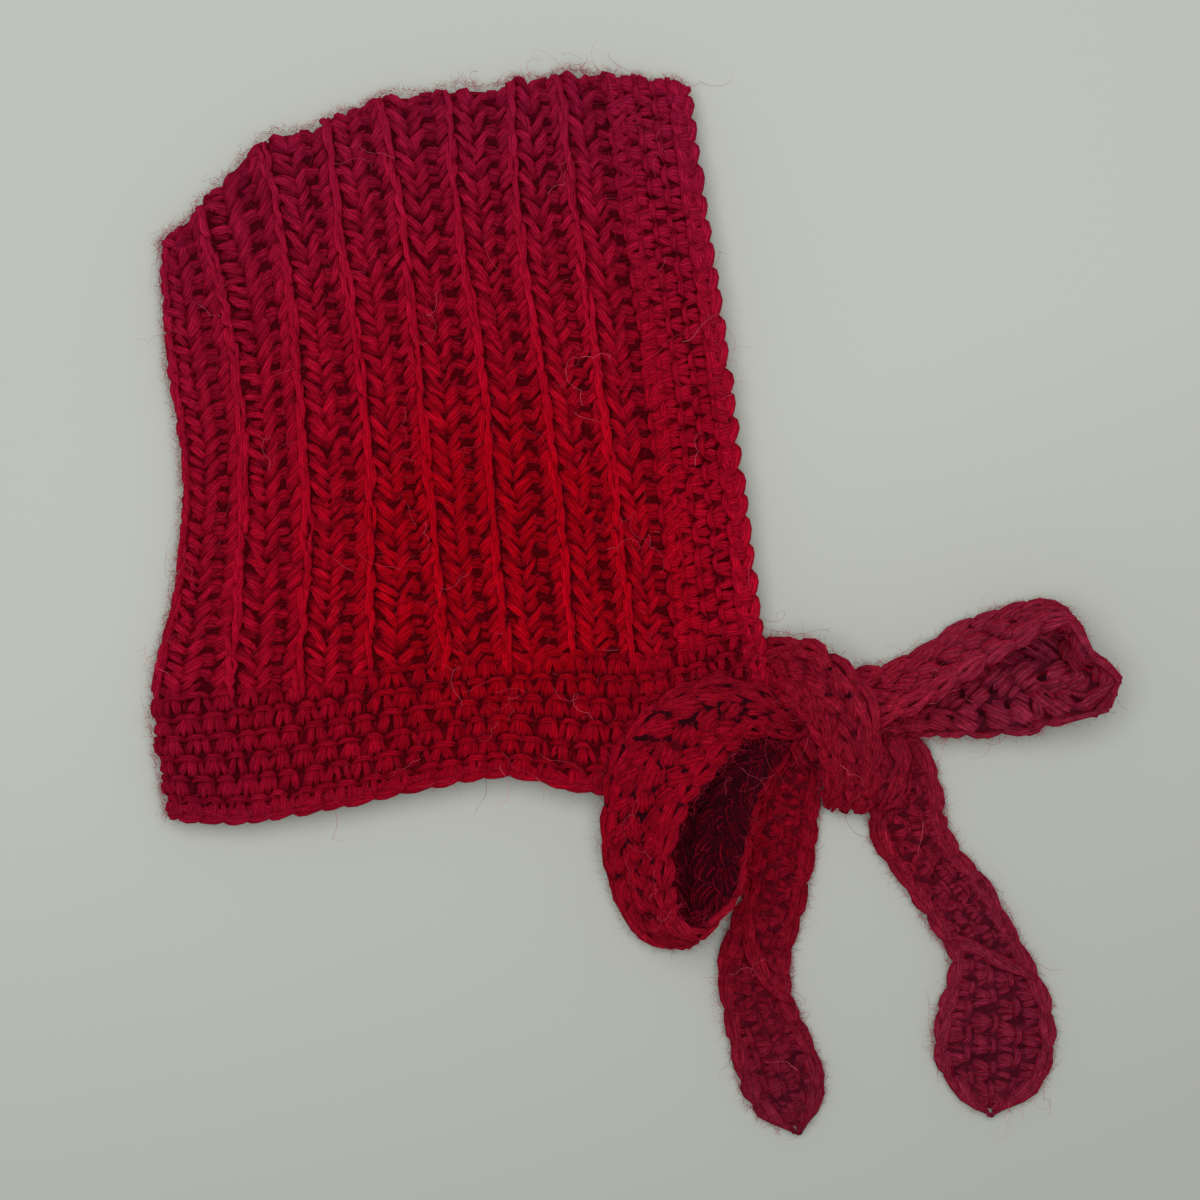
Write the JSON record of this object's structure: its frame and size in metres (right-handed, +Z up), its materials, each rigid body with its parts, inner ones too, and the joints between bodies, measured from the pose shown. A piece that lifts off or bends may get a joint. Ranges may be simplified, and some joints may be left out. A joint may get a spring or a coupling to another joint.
{
  "type": "crochet hood with tied bow",
  "caption": "Ribbed crochet hood lying flat on its side, hollow for the head, open at face and neck, with flat ties knotted in a bow.",
  "frame": {"origin": "on the surface that the hood lies on, under the middle of the whole lying piece", "axes": "+Z up from the surface, +Y from the neck edge towards the top fold, +X from the back towards the face opening"},
  "size_m": [0.3366, 0.3711, 0.0352],
  "materials": {
    "red_yarn": "thick brushed yarn in ribbed crochet",
    "tie_yarn": "thick brushed yarn in single crochet"
  },
  "bodies": {
    "root": {"ribbed_panel": "red_yarn", "face_band": "red_yarn", "neck_band": "red_yarn", "knot_wrap": "tie_yarn", "knot_core": "tie_yarn", "knot_tuck": "tie_yarn", "tie_lower": "tie_yarn", "bow_loop_left": "tie_yarn", "bow_loop_right": "tie_yarn", "tie_end_left": "tie_yarn", "tie_end_right": "tie_yarn"}
  },
  "joints": []
}
